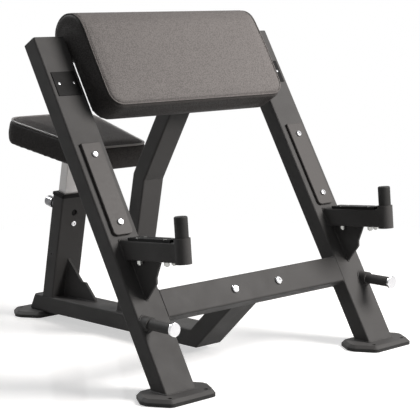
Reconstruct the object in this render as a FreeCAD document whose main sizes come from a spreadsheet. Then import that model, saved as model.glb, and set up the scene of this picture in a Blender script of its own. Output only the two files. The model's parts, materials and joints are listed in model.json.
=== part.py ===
import FreeCAD, Part
import math
import os
import Sketcher

Vector = FreeCAD.Vector
Rotation = FreeCAD.Rotation
Placement = FreeCAD.Placement

# Preacher curl bench, in millimetres. X runs to the right of someone who faces the arm pad from the
# front, Y to the rear, where the seat is, and Z up from the floor. The origin is the middle of the
# floor area.
driving = {
    # Rectangular tube of the uprights and the base, and of the lighter members
    "tube_wide": 100,
    "tube_deep": 50,
    "tube_wall": 3,
    "tube_round": 5,
    "beam_tall": 76,
    "spine_wide": 76,
    # Reach of the cutters past what they cut
    "overrun": 150,
    # Feet: a cut-cornered steel plate on a slightly larger rubber pad
    "rubber_thick": 8,
    "rubber_rim": 1,
    "foot_thick": 9,
    "foot_bevel": 8,
    "foot_corner": 16,
    "foot_half_long": 106,
    "foot_half_deep": 66,
    "foot_cut_long": 34,
    "foot_cut_deep": 55,
    "foot_hole_radius": 5.5,
    "foot_hole_half_pitch": 60,
    "foot_hole_set_out": 44,
    "foot_span": 1035,
    "foot_lead": 20,
    # Uprights
    "upright_spread": 762,
    "upright_long": 990,
    "lean_angle": 30,
    "cap_thick": 4,
    "cap_round": 2,
    "plug_long": 12,
    "plug_gap": 0.3,
    # Cross beam and the bolted flange behind it
    "beam_height": 228,
    "flange_wide": 216,
    "flange_thick": 8,
    "flange_inset": 8,
    "brace_bolt_half_pitch": 82,
    # Base beam, brace and rear end
    "brace_angle": 43,
    "bend_set_back": 306,
    "brace_blank": 300,
    "base_tail": 5,
    "base_end_angle": 28,
    "end_cap_thick": 4,
    # Spine
    "spine_set_back": 608,
    "spine_low_long": 406,
    "spine_low_angle": 12,
    "spine_high_angle": 31,
    "spine_blank": 330,
    # Arm pad and what it is bolted to
    "pad_half_wide": 321,
    "pad_low": 749,
    "pad_front": 69,
    "pad_rear": 10.5,
    "pad_slope_long": 235,
    "pad_roll_radius": 62,
    "pad_board_thick": 15,
    "pad_board_inset": 18,
    "pad_crown": 3,
    "pad_low_round": 14,
    "pad_corner": 42,
    "pad_edge_round": 6,
    "pad_gap": 0.3,
    "pad_plate_thick": 6,
    "pad_plate_half_wide": 110,
    "pad_plate_inset": 12,
    "pad_bolt_inset": 22,
    "pad_bolt_bite": 10,
    # Seat sleeve, its guide and gusset
    "sleeve_lead": 79,
    "sleeve_long": 326,
    "sleeve_angle": 12,
    "guide_long": 112,
    "guide_lip": 9,
    "guide_lip_out": 2,
    "slide_gap": 0.3,
    "guide_bolt_depth": 84,
    "guide_bolt_bite": 4,
    "sleeve_hole_radius": 10,
    "vent_radius": 2.5,
    "vent_height": 140,
    "gusset_thick": 8,
    "seat_gusset_long": 151,
    "seat_gusset_tall": 118,
    "gusset_step": 18,
    "gusset_nose": 8,
    # Seat post and seat
    "post_wide": 76,
    "post_deep": 32,
    "post_wall": 2.5,
    "post_round": 3,
    "post_below": 236,
    "post_above": 134,
    "post_hole_radius": 5.6,
    "post_hole_pitch": 25,
    "seat_plate_thick": 6,
    "seat_plate_half_wide": 80,
    "seat_plate_half_long": 65,
    "seat_bolt_inset": 16,
    "seat_bolt_bite": 6,
    "seat_board_thick": 10,
    "seat_board_inset": 18,
    "seat_thick": 71,
    "seat_front": 197,
    "seat_rear": 158,
    "seat_front_half": 106,
    "seat_rear_half": 160,
    "seat_front_corner": 26,
    "seat_rear_corner": 40,
    "seat_edge": 6,
    "seat_crown": 5,
    "seat_crown_reach": 34,
    "seat_draw": 3,
    # Pull pin
    "pin_depth": 50,
    "pin_radius": 5,
    "pin_gap": 0.3,
    "pin_reach": 4,
    "barrel_radius": 14,
    "barrel_long": 38,
    "knob_neck_radius": 11,
    "knob_neck_long": 12,
    "knob_radius": 16.5,
    "knob_long": 32,
    "knob_round": 5,
    "knob_socket": 22,
    "knob_gap": 0.4,
    "knob_fit": 0.05,
    # Bar catches
    "catch_height": 384,
    "catch_angle": 4.4,
    "catch_reach": 205,
    "arm_wide": 40,
    "arm_tall": 50,
    "socket_radius": 21,
    "socket_rise": 10,
    "socket_drop": 3.5,
    "peg_radius": 17,
    "peg_gap": 0.25,
    "peg_stand": 53,
    "peg_round": 4,
    "liner_wide": 38,
    "liner_thick": 7,
    "liner_start": 24,
    "liner_end_gap": 2,
    "liner_round": 1.5,
    "liner_bolt_first": 56,
    "liner_bolt_pitch": 102,
    "liner_bolt_half_gauge": 12,
    "catch_gusset_tall": 112.3,
    "catch_gusset_out": 101,
    "catch_gusset_thick": 6,
    "catch_gusset_step": 7,
    # Wear strips and badge plates
    "strip_wide": 62,
    "strip_thick": 8,
    "strip_rise": 38,
    "strip_corner": 12,
    "strip_bevel": 1.5,
    "strip_bolt_inset": 34,
    "badge_wide": 75,
    "badge_tall": 69,
    "badge_thick": 2,
    "badge_drop": 101,
    "rivet_pitch": 49,
    # Band pegs
    "band_height": 187,
    "band_out": 30,
    "band_radius": 14,
    "band_long": 102,
    "collar_radius": 18,
    "collar_long": 20,
    "end_radius": 18,
    "end_thick": 6,
    "end_round": 2.5,
    # Fasteners: head radius, head height, shank radius, socket across flats and depth
    "big_head_radius": 11,
    "big_head_tall": 7,
    "big_shank_radius": 6,
    "big_socket": 8,
    "mid_head_radius": 8.75,
    "mid_head_tall": 5.5,
    "mid_shank_radius": 5,
    "mid_socket": 6,
    "small_head_radius": 6.5,
    "small_head_tall": 4,
    "small_shank_radius": 4,
    "small_socket": 5,
    "rivet_head_radius": 4,
    "rivet_head_tall": 2,
    "rivet_shank_radius": 2,
    "socket_depth": 2.5,
    "hole_gap": 0.3,
    "thread_gap": 0.1,
    "big_nut_flats": 19,
    "big_nut_tall": 10,
    "small_nut_flats": 13,
    "small_nut_tall": 8,
    "bolt_tail": 3,
}

# Shares of the stepped gussets' length and height at which their steps lie
gusset_brow_share = 0.585
gusset_shelf_share = 0.46
catch_brow_share = 0.63
catch_shelf_share = 0.31
catch_heel_share = 0.19
# Share of the seat's side at which it bulges most, and shares of the crown's reach at which it rises
seat_belly_share = 0.5
seat_crown_shares = (0.33, 0.66, 1)
# Share of the upright's length that the wear strip covers
strip_share = 0.2606
# Steps in which the arm pad's lower corners and the seat's upper edge turn
corner_steps = 5
edge_steps = 3
# Holes of the seat post above and below the one that the pin rests in
holes_each_way = 3
# Share of a bolt head's height that is rounded off
head_round_share = 0.6
# An edge lies along an axis if this share of its direction does, and at a level if it is this near
parallel_share = 0.999
level_slack = 1e-6

doc = FreeCAD.newDocument("preacher_bench")
sheet = doc.addObject("Spreadsheet::Sheet", "sizes")
for row, (name, number) in enumerate(driving.items(), start=1):
    sheet.set(f"A{row}", name)
    sheet.set(f"B{row}", str(number))
    sheet.setAlias(f"B{row}", name)
doc.recompute()


class Size:
    # A length or angle that knows its number and the sheet formula that gives it
    def __init__(self, number, text):
        self.number = float(number)
        self.text = text

    def __float__(self):
        return self.number

    def __add__(self, other):
        other = as_size(other)
        return Size(self.number + other.number, f"({self.text} + {other.text})")

    def __sub__(self, other):
        other = as_size(other)
        return Size(self.number - other.number, f"({self.text} - {other.text})")

    def __mul__(self, other):
        other = as_size(other)
        return Size(self.number * other.number, f"({self.text} * {other.text})")

    def __truediv__(self, other):
        other = as_size(other)
        return Size(self.number / other.number, f"({self.text} / {other.text})")

    def __neg__(self):
        return Size(-self.number, f"(0 - {self.text})")

    def __rsub__(self, other):
        return as_size(other) - self

    __radd__ = __add__
    __rmul__ = __mul__


def as_size(value):
    return value if isinstance(value, Size) else Size(value, f"{float(value):.12g}")


def tan(angle):
    return Size(math.tan(math.radians(float(angle))), f"tan({as_size(angle).text})")


def cos(angle):
    return Size(math.cos(math.radians(float(angle))), f"cos({as_size(angle).text})")


class Sizes:
    pass


d = Sizes()
for name in driving:
    setattr(d, name, Size(sheet.get(name), f"sizes.{name}"))

zero = as_size(0)
along_x = Vector(1, 0, 0)
along_y = Vector(0, 1, 0)
along_z = Vector(0, 0, 1)
rearward = Rotation(along_x, -90)
forward = Rotation(along_x, 90)
nodes = []


def bind(thing, **values):
    for name, value in values.items():
        thing.setExpression(name, as_size(value).text)


def shift(thing, at):
    for axis, value in zip("xyz", at):
        thing.setExpression(f"Placement.Base.{axis}", as_size(value).text)


def frame_at(x, y, z, turn):
    return Placement(Vector(float(x), float(y), float(z)), Rotation(along_x, float(turn)))


def new_body(label, kept=True):
    body = doc.addObject("PartDesign::Body", label)
    body.Label = label
    if kept:
        nodes.append(body)
    return body


def block(body, x, y, z, at, kind="Additive"):
    box = body.newObject(f"PartDesign::{kind}Box", "block")
    bind(box, Length=x, Width=y, Height=z)
    shift(box, at)
    return box


def rod(body, radius, length, at, turn=Rotation(), kind="Additive"):
    cylinder = body.newObject(f"PartDesign::{kind}Cylinder", "rod")
    cylinder.Placement = Placement(Vector(), turn)
    bind(cylinder, Radius=radius, Height=length)
    shift(cylinder, at)
    return cylinder


def drill(body, radius, at, length=None, turn=rearward):
    return rod(body, radius, length or d.overrun, at, turn, "Subtractive")


def edges_of(feature, pick):
    doc.recompute()
    return [f"Edge{index}" for index, edge in enumerate(feature.Shape.Edges, 1) if pick(edge)]


def lies_along(edge, axis):
    return abs(edge.tangentAt(edge.FirstParameter).dot(axis)) > parallel_share


def dress(body, kind, base, size, pick):
    feature = body.newObject(f"PartDesign::{kind}", "dressed_edges")
    feature.Base = (base, edges_of(base, pick))
    bind(feature, **{"Radius" if kind == "Fillet" else "Size": size})
    return feature


def at_level(edge, axis, level):
    return all(abs(point.Point.dot(axis) - float(level)) < level_slack for point in edge.Vertexes)


def slice_off(body, y, z, turn):
    # Takes away what lies past a plane that holds the X axis, turned about it
    cutter = body.newObject("PartDesign::SubtractiveBox", "slice")
    bind(cutter, Length=2 * d.overrun, Width=2 * d.overrun, Height=d.overrun)
    reach = float(d.overrun)
    cutter.Placement = frame_at(0, y, z, turn) * Placement(Vector(-reach, -reach, 0), Rotation())
    return cutter


def tube(label, wide, deep, wall, rounding, start, end, front):
    # Rectangular tube along Z, wide in X and deep in Y, with rounded long edges
    body = new_body(label)
    outer = block(body, wide, deep, end - start, (-wide / 2, front, start))
    dress(body, "Fillet", outer, rounding, lambda edge: lies_along(edge, along_z))
    inner = (wall - wide / 2, front + wall, start - d.overrun)
    block(body, wide - 2 * wall, deep - 2 * wall, end - start + 2 * d.overrun, inner, "Subtractive")
    return body


def outline_pad(body, plane, points, thick, symmetric=False):
    # A plate from a closed outline whose corners are bound to the sheet
    sketch = body.newObject("Sketcher::SketchObject", "outline")
    support = next(part for part in body.Origin.OriginFeatures if part.Role == plane)
    sketch.AttachmentSupport = [(support, "")]
    sketch.MapMode = "FlatFace"
    corners = [(as_size(x), as_size(y)) for x, y in points]
    places = [Vector(float(x), float(y), 0) for x, y in corners]
    for here, following in zip(places, places[1:] + places[:1]):
        sketch.addGeometry(Part.LineSegment(here, following), False)
    for index, corner in enumerate(corners):
        following = (index + 1) % len(corners)
        sketch.addConstraint(Sketcher.Constraint("Coincident", index, 2, following, 1))
        for kind, axis, value in (("DistanceX", -2, corner[0]), ("DistanceY", -1, corner[1])):
            if float(value) == 0:
                sketch.addConstraint(Sketcher.Constraint("PointOnObject", index, 1, axis))
                continue
            rule = sketch.addConstraint(Sketcher.Constraint(kind, -1, 1, index, 1, float(value)))
            sketch.setExpression(f"Constraints[{rule}]", value.text)
    pad = body.newObject("PartDesign::Pad", "plate")
    pad.Profile = sketch
    bind(pad, Length=thick)
    if symmetric:
        pad.SideType = "Symmetric"
    return pad


def group(label, master, places):
    # Copies of one fastener, as one node
    copies = []
    for place in places:
        copy = doc.addObject("App::Link", f"{label}_copy")
        copy.LinkedObject = master
        copy.LinkPlacement = place
        copies.append(copy)
    node = doc.addObject("Part::Compound", label)
    node.Label = label
    node.Links = copies
    nodes.append(node)
    return node


def bolt(label, head_radius, head_tall, shank_radius, shank_long, socket=None):
    # Button-headed bolt: the head stands above Z 0 and the shank goes down
    body = new_body(label, kept=False)
    head = rod(body, head_radius, head_tall, (0, 0, 0))
    rounding = head_round_share * head_tall
    dress(body, "Fillet", head, rounding, lambda edge: at_level(edge, along_z, head_tall))
    rod(body, shank_radius, shank_long, (0, 0, -shank_long))
    if socket:
        hexagon = body.newObject("PartDesign::SubtractivePrism", "socket")
        bind(hexagon, Circumradius=socket / 2 / cos(30), Height=d.overrun)
        shift(hexagon, (0, 0, head_tall - d.socket_depth))
    return body


def nut(label, flats, tall, shank_radius):
    # Hexagonal nut that hangs below Z 0
    body = new_body(label, kept=False)
    hexagon = body.newObject("PartDesign::AdditivePrism", "hexagon")
    bind(hexagon, Circumradius=flats / 2 / cos(30), Height=tall)
    shift(hexagon, (0, 0, -tall))
    rod(body, shank_radius + d.thread_gap, 2 * d.overrun, (0, 0, -d.overrun), kind="Subtractive")
    return body


def place_in(frame, x, y, z, turn=Rotation()):
    return frame * Placement(Vector(float(x), float(y), float(z)), turn)


# Levels and frames that several pieces share
plate_top = d.rubber_thick + d.foot_thick
front_foot_y = -d.foot_span / 2
rear_foot_y = d.foot_span / 2
upright_y = front_foot_y - d.foot_lead
base_top = plate_top + d.tube_deep
# Distances back from the uprights' front faces, at the foot plates' top
rear_foot_back = d.foot_span + d.foot_lead
base_end = rear_foot_back + d.base_tail
sleeve_set_back = rear_foot_back - d.sleeve_lead
half_spread = d.upright_spread / 2
sides = {"left": -1, "right": 1}
middle_frame = frame_at(0, upright_y, plate_top, -d.lean_angle)
upright_frames = {side: place_in(middle_frame, sign * half_spread, 0, 0) for side, sign in sides.items()}

# The badge plate keeps its distance from the upright's top, and the strip starts above the catch
badge_low = d.upright_long - d.badge_drop - d.badge_tall
rivet_height = badge_low + d.badge_tall / 2
strip_low = d.catch_height + d.strip_rise
strip_high = strip_low + strip_share * d.upright_long
strip_bolt_heights = (strip_low + d.strip_bolt_inset, strip_high - d.strip_bolt_inset)
rivet_places = (-d.rivet_pitch / 2, d.rivet_pitch / 2)


def foot_outline(grow):
    long = d.foot_half_long + grow
    deep = d.foot_half_deep + grow
    quarter = [(long - d.foot_cut_long, -deep), (long, d.foot_cut_deep - deep)]
    right = quarter + [(x, -y) for x, y in reversed(quarter)]
    return right + [(-x, -y) for x, y in right]


def make_foot(label, x, y, facing):
    # The holes lie on the side of the plate that faces away from the bench
    holes = [(sign * d.foot_hole_half_pitch, facing * d.foot_hole_set_out) for sign in sides.values()]
    rubber = new_body(f"{label}_foot_rubber")
    pad = outline_pad(rubber, "XY_Plane", foot_outline(d.rubber_rim), d.rubber_thick)
    dress(rubber, "Fillet", pad, d.foot_corner + d.rubber_rim, lambda edge: lies_along(edge, along_z))
    plate = new_body(f"{label}_foot_plate")
    pad = outline_pad(plate, "XY_Plane", foot_outline(zero), d.foot_thick)
    rounded = dress(plate, "Fillet", pad, d.foot_corner, lambda edge: lies_along(edge, along_z))
    dress(plate, "Chamfer", rounded, d.foot_bevel, lambda edge: at_level(edge, along_z, d.foot_thick))
    for body, level in ((rubber, zero), (plate, d.rubber_thick)):
        for across, along in holes:
            drill(body, d.foot_hole_radius, (across, along, -d.overrun), 2 * d.overrun, Rotation())
        body.Placement = frame_at(x, y, level, 0)


def make_upright(side):
    body = tube(f"{side}_upright", d.tube_wide, d.tube_deep, d.tube_wall, d.tube_round,
                -d.tube_deep, d.upright_long, zero)
    slice_off(body, 0, 0, 180 + float(d.lean_angle))
    wall_cut = d.tube_wall + d.tube_wall
    for height in strip_bolt_heights:
        drill(body, d.mid_shank_radius + d.hole_gap, (0, -d.tube_wall, height), wall_cut)
    for across in rivet_places:
        drill(body, d.rivet_shank_radius + d.hole_gap, (across, -d.tube_wall, rivet_height), wall_cut)
    body.Placement = upright_frames[side]


def make_upright_cap(side):
    # Flat cap with a plug that enters the tube's bore
    body = new_body(f"{side}_upright_cap")
    wide = d.tube_wide
    lid = block(body, wide, d.tube_deep, d.cap_thick, (-wide / 2, 0, 0))
    rounded = dress(body, "Fillet", lid, d.tube_round, lambda edge: lies_along(edge, along_z))
    dress(body, "Fillet", rounded, d.cap_round, lambda edge: at_level(edge, along_z, d.cap_thick))
    inset = d.tube_wall + d.plug_gap
    block(body, wide - 2 * inset, d.tube_deep - 2 * inset, d.plug_long,
          (inset - wide / 2, inset, -d.plug_long))
    body.Placement = place_in(upright_frames[side], 0, 0, d.upright_long)


def make_cross_beam():
    long = d.upright_spread - d.tube_wide
    body = tube("cross_beam", d.beam_tall, d.tube_deep, d.tube_wall, d.tube_round,
                -long / 2, long / 2, zero)
    across = [sign * d.brace_bolt_half_pitch for sign in sides.values()]
    hole = d.big_shank_radius + d.hole_gap
    for x in across:
        drill(body, hole, (0, -d.overrun, x), 2 * d.overrun)
    body.Placement = place_in(middle_frame, 0, 0, d.beam_height, Rotation(along_y, 90))

    flange = new_body("brace_flange")
    tall = d.beam_tall - 2 * d.flange_inset
    block(flange, d.flange_wide, d.flange_thick, tall,
          (-d.flange_wide / 2, d.tube_deep, d.beam_height - tall / 2))
    for x in across:
        drill(flange, hole, (x, 0, d.beam_height))
    flange.Placement = middle_frame

    stack = d.tube_deep + d.flange_thick
    master = bolt("brace_bolt", d.big_head_radius, d.big_head_tall, d.big_shank_radius,
                  stack + d.big_nut_tall + d.bolt_tail, d.big_socket)
    group("brace_bolts", master, [place_in(middle_frame, x, 0, d.beam_height, forward) for x in across])
    master = nut("brace_nut", d.big_nut_flats, d.big_nut_tall, d.big_shank_radius)
    group("brace_nuts", master, [place_in(middle_frame, x, stack, d.beam_height, forward) for x in across])


def make_base():
    # The base beam and the brace meet on the plane that halves their bend
    bend_y = upright_y + d.bend_set_back
    half_bend = float(d.brace_angle) / 2
    long = base_end - d.bend_set_back
    base = tube("base_beam", d.tube_wide, d.tube_deep, d.tube_wall, d.tube_round,
                -d.tube_deep, long + d.tube_deep, zero)
    slice_off(base, d.tube_deep, 0, 180 - half_bend)
    slice_off(base, d.tube_deep, long, d.base_end_angle)
    base.Placement = frame_at(0, bend_y, base_top, -90)

    cap = new_body("base_end_cap")
    slant_long = d.tube_deep / cos(d.base_end_angle)
    lid = block(cap, d.tube_wide, slant_long, d.end_cap_thick, (-d.tube_wide / 2, -slant_long, 0))
    dress(cap, "Fillet", lid, d.tube_round, lambda edge: lies_along(edge, along_z))
    slant = Rotation(along_x, float(d.base_end_angle))
    cap.Placement = place_in(base.Placement, 0, d.tube_deep, long, slant)

    turn = 90 - float(d.brace_angle)
    brace = tube("front_brace", d.tube_wide, d.tube_deep, d.tube_wall, d.tube_round,
                 -d.tube_deep, d.brace_blank, zero)
    slice_off(brace, 0, 0, 180 + half_bend)
    brace.Placement = frame_at(0, bend_y, plate_top, turn)
    end_on_plane(brace, turn, d.tube_deep + d.flange_thick)


def end_on_plane(body, turn, back):
    # Ends a member at the plane that lies that far behind the uprights' front faces
    def depth(along):
        return middle_frame.inverse().multVec(body.Placement.multVec(Vector(0, 0, along))).y
    start = depth(0)
    slice_off(body, 0, (float(back) - start) / (depth(1) - start), 90 - float(d.lean_angle) - float(turn))


def make_spine():
    # Two lengths of tube that meet on the plane that halves their bend
    half_bend = float(d.spine_high_angle - d.spine_low_angle) / 2
    low = tube("spine_lower", d.spine_wide, d.tube_deep, d.tube_wall, d.tube_round,
               -d.tube_deep, d.spine_low_long + d.tube_deep, zero)
    slice_off(low, 0, 0, 180 - float(d.spine_low_angle))
    slice_off(low, 0, d.spine_low_long, half_bend)
    low.Placement = frame_at(0, upright_y + d.spine_set_back, base_top, d.spine_low_angle)

    high = tube("spine_upper", d.spine_wide, d.tube_deep, d.tube_wall, d.tube_round,
                -d.tube_deep, d.spine_blank, zero)
    slice_off(high, 0, 0, 180 - half_bend)
    bend = low.Placement.multVec(Vector(0, 0, float(d.spine_low_long)))
    high.Placement = frame_at(bend.x, bend.y, bend.z, d.spine_high_angle)
    end_on_plane(high, d.spine_high_angle, d.pad_rear + d.pad_plate_thick)


# The arm pad, measured up the uprights' slope and back from their front faces
pad_roll_height = d.pad_low + d.pad_slope_long
pad_roll_back = d.pad_roll_radius - d.pad_front
board_front = d.pad_rear - d.pad_board_thick
board_half = d.pad_half_wide - d.pad_board_inset
board_low = d.pad_low + d.pad_board_inset
board_high = pad_roll_height - d.pad_roll_radius - d.pad_board_inset
pad_plate_low = board_low + d.pad_plate_inset
pad_plate_high = board_high - d.pad_plate_inset


def make_pad_mount():
    board = new_body("arm_pad_board")
    panel = block(board, 2 * board_half, d.pad_board_thick, board_high - board_low,
                  (-board_half, board_front, board_low))
    dress(board, "Fillet", panel, d.pad_corner - d.pad_board_inset,
          lambda edge: lies_along(edge, along_y) and at_level(edge, along_z, board_low))
    plate = new_body("pad_plate")
    wide = d.pad_plate_half_wide
    block(plate, 2 * wide, d.pad_plate_thick, pad_plate_high - pad_plate_low,
          (-wide, d.pad_rear, pad_plate_low))
    heights = (pad_plate_low + d.pad_bolt_inset, pad_plate_high - d.pad_bolt_inset)
    places = [(sign * (wide - d.pad_bolt_inset), height) for sign in sides.values() for height in heights]
    hole = d.small_shank_radius + d.hole_gap
    for across, height in places:
        drill(plate, hole, (across, 0, height))
        drill(board, hole, (across, d.pad_rear - d.pad_bolt_bite - d.hole_gap, height))
    board.Placement = middle_frame
    plate.Placement = middle_frame
    master = bolt("pad_bolt", d.small_head_radius, d.small_head_tall, d.small_shank_radius,
                  d.pad_plate_thick + d.pad_bolt_bite, d.small_socket)
    outer = d.pad_rear + d.pad_plate_thick
    group("pad_bolts", master, [place_in(middle_frame, x, outer, z, rearward) for x, z in places])


def arc(start, middle, end):
    return Part.Arc(start, middle, end).toShape()


def line(start, end):
    return Part.LineSegment(start, end).toShape()


def pad_section(x, inset, lift):
    # Outline of the arm pad across its width, drawn in near the ends and lifted at the lower corners
    rear = float(d.pad_rear)
    centre = float(pad_roll_back)
    radius = float(d.pad_roll_radius) - inset
    height = float(pad_roll_height)
    front = centre - radius
    low = float(d.pad_low) + lift
    rounding = float(d.pad_low_round)
    slack = rounding * (1 - math.cos(math.radians(45)))

    def point(back, up):
        return Vector(x, back, up)

    def rolled(degrees):
        angle = math.radians(degrees)
        return point(centre + radius * math.cos(angle), height + radius * math.sin(angle))
    under = point(rear, height - math.sqrt(radius ** 2 - (rear - centre) ** 2))
    heel = point(rear, low)
    sole = point(front + rounding, low)
    toe = point(front, low + rounding)
    crown = point(front - float(d.pad_crown), (toe.z + height) / 2)
    return Part.Wire([
        line(heel, sole),
        arc(sole, point(front + slack, low + slack), toe),
        arc(toe, crown, rolled(180)),
        arc(rolled(180), rolled(135), rolled(90)),
        arc(rolled(90), rolled(45), rolled(0)),
        arc(rolled(0), rolled(-30), under),
        line(under, heel),
    ])


def quarter_round(radius, distance):
    # How far a rounded edge has fallen back at a distance from the end
    return radius - math.sqrt(max(radius ** 2 - max(radius - distance, 0) ** 2, 0))


def make_arm_pad():
    corner = float(d.pad_corner)
    half = float(d.pad_half_wide)
    sections = []
    for step in range(corner_steps + 1):
        distance = corner * (1 - math.cos(math.radians(90 * step / corner_steps)))
        inset = quarter_round(float(d.pad_edge_round), distance)
        lift = quarter_round(corner, distance)
        sections.append((half - distance, inset, lift))
    wires = [pad_section(-x, inset, lift) for x, inset, lift in sections]
    wires += [pad_section(x, inset, lift) for x, inset, lift in reversed(sections)]
    gap = d.pad_gap
    recess = Part.makeBox(float(2 * board_half + 2 * gap), float(d.pad_rear - board_front + d.overrun),
                          float(board_high - board_low + 2 * gap),
                          Vector(float(-board_half - gap), float(board_front - gap),
                                 float(board_low - gap)))
    add_shape("arm_pad", Part.makeLoft(wires, True, True).cut(recess), middle_frame)


def add_shape(label, shape, frame):
    node = doc.addObject("Part::Feature", label)
    node.Label = label
    node.Shape = shape
    node.Placement = frame
    nodes.append(node)
    return node


# The seat's post and sleeve share one leaning axis, which starts on the base beam
seat_frame = frame_at(0, upright_y + sleeve_set_back, base_top, d.sleeve_angle)
pin_height = d.sleeve_long - d.pin_depth
guide_bolt_height = d.sleeve_long - d.guide_bolt_depth
half_deep = d.tube_deep / 2
post_top = d.sleeve_long + d.post_above
seat_bottom = post_top + d.seat_plate_thick


def make_sleeve():
    sleeve = tube("seat_sleeve", d.tube_wide, d.tube_deep, d.tube_wall, d.tube_round,
                  -d.tube_deep, d.sleeve_long, -half_deep)
    slice_off(sleeve, 0, 0, 180 - float(d.sleeve_angle))
    drill(sleeve, d.pin_radius + d.pin_gap, (0, 0, pin_height))
    drill(sleeve, d.sleeve_hole_radius, (0, 0, pin_height), turn=forward)
    drill(sleeve, d.mid_shank_radius + d.hole_gap, (0, 0, guide_bolt_height), turn=forward)
    drill(sleeve, d.vent_radius, (-d.overrun, 0, d.vent_height), 2 * d.overrun, Rotation(along_y, 90))
    sleeve.Placement = seat_frame

    guide = new_body("seat_guide")
    inset = d.tube_wall + d.plug_gap
    wide = d.tube_wide + 2 * d.guide_lip_out
    deep = d.tube_deep + 2 * d.guide_lip_out
    lip = block(guide, wide, deep, d.guide_lip, (-wide / 2, -deep / 2, d.sleeve_long))
    rounded = dress(guide, "Fillet", lip, d.tube_round, lambda edge: lies_along(edge, along_z))
    top = d.sleeve_long + d.guide_lip
    dress(guide, "Fillet", rounded, d.cap_round, lambda edge: at_level(edge, along_z, top))
    block(guide, d.tube_wide - 2 * inset, d.tube_deep - 2 * inset, d.guide_long,
          (inset - d.tube_wide / 2, inset - half_deep, d.sleeve_long - d.guide_long))
    bore_wide = d.post_wide + 2 * d.slide_gap
    bore_deep = d.post_deep + 2 * d.slide_gap
    block(guide, bore_wide, bore_deep, 2 * d.overrun,
          (-bore_wide / 2, -bore_deep / 2, d.sleeve_long - d.overrun), "Subtractive")
    drill(guide, d.pin_radius + d.pin_gap, (0, 0, pin_height))
    bite = inset + d.guide_bolt_bite
    deepest = bite + d.hole_gap - half_deep
    drill(guide, d.mid_shank_radius + d.hole_gap, (0, deepest, guide_bolt_height), turn=forward)
    guide.Placement = seat_frame

    master = bolt("guide_screw", d.mid_head_radius, d.mid_head_tall, d.mid_shank_radius, bite,
                  d.mid_socket)
    group("guide_bolt", master, [place_in(seat_frame, 0, -half_deep, guide_bolt_height, forward)])


def make_seat_gusset():
    # Stepped plate in front of the sleeve, on the base beam
    body = new_body("seat_gusset")
    tall = d.seat_gusset_tall
    long = d.seat_gusset_long
    shelf = gusset_shelf_share * tall
    brow = gusset_brow_share * long
    points = [(zero, zero), (-tall * tan(d.sleeve_angle), tall), (-brow, shelf),
              (-brow - d.gusset_step, shelf), (-long, d.gusset_nose), (-long, zero)]
    outline_pad(body, "YZ_Plane", points, d.gusset_thick, symmetric=True)
    heel = upright_y + sleeve_set_back - half_deep / cos(d.sleeve_angle)
    body.Placement = frame_at(0, heel, base_top, 0)


def make_post():
    bottom = d.sleeve_long - d.post_below
    post = tube("seat_post", d.post_wide, d.post_deep, d.post_wall, d.post_round,
                bottom, post_top, -d.post_deep / 2)
    for step in range(-holes_each_way, holes_each_way + 1):
        drill(post, d.post_hole_radius, (0, 0, pin_height + step * d.post_hole_pitch))
    post.Placement = seat_frame

    plug = new_body("post_plug")
    block(plug, d.post_wide, d.post_deep, d.cap_thick,
          (-d.post_wide / 2, -d.post_deep / 2, bottom - d.cap_thick))
    inset = d.post_wall + d.plug_gap
    block(plug, d.post_wide - 2 * inset, d.post_deep - 2 * inset, d.plug_long,
          (inset - d.post_wide / 2, inset - d.post_deep / 2, bottom))
    plug.Placement = seat_frame


def make_seat_mount():
    plate = new_body("seat_plate")
    wide = d.seat_plate_half_wide
    long = d.seat_plate_half_long
    block(plate, 2 * wide, 2 * long, d.seat_plate_thick, (-wide, -long, post_top))
    board = new_body("seat_board")
    outline_pad(board, "XY_Plane", seat_corners(d.seat_board_inset), d.seat_board_thick)
    hole = d.small_shank_radius + d.hole_gap
    bite = d.seat_bolt_bite
    places = [(across * (wide - d.seat_bolt_inset), along * (long - d.seat_bolt_inset))
              for across in sides.values() for along in sides.values()]
    for across, along in places:
        drill(plate, hole, (across, along, post_top - d.seat_plate_thick), turn=Rotation())
        drill(board, hole, (across, along, -d.overrun), d.overrun + bite + d.hole_gap, Rotation())
    plate.Placement = seat_frame
    board.Placement = place_in(seat_frame, 0, 0, seat_bottom)
    master = bolt("seat_bolt", d.small_head_radius, d.small_head_tall, d.small_shank_radius,
                  d.seat_plate_thick + bite, d.small_socket)
    upward = Rotation(along_x, 180)
    group("seat_bolts", master, [place_in(seat_frame, x, y, post_top, upward) for x, y in places])


def seat_corners(inset):
    # The seat is wider at the rear than at the front
    front = inset - d.seat_front
    rear = d.seat_rear - inset
    front_half = d.seat_front_half - inset
    rear_half = d.seat_rear_half - inset
    return [(-front_half, front), (front_half, front), (rear_half, rear), (-rear_half, rear)]


def seat_section(level, inset):
    # Four sides and four rounded corners
    corners = [Vector(float(x), float(y), level) for x, y in seat_corners(as_size(inset))]
    roundings = [d.seat_front_corner, d.seat_front_corner, d.seat_rear_corner, d.seat_rear_corner]
    arcs = []
    for index, here in enumerate(corners):
        rounding = float(roundings[index])
        back = (corners[index - 1] - here).normalize()
        ahead = (corners[(index + 1) % len(corners)] - here).normalize()
        half = back.getAngle(ahead) / 2
        run = rounding / math.tan(half)
        middle = here + (back + ahead).normalize() * (rounding / math.sin(half) - rounding)
        arcs.append((here + back * run, middle, here + ahead * run))
    pieces = []
    for index, (start, middle, end) in enumerate(arcs):
        pieces.append(arc(start, middle, end))
        pieces.append(line(end, arcs[(index + 1) % len(arcs)][0]))
    return Part.Wire(pieces)


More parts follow.
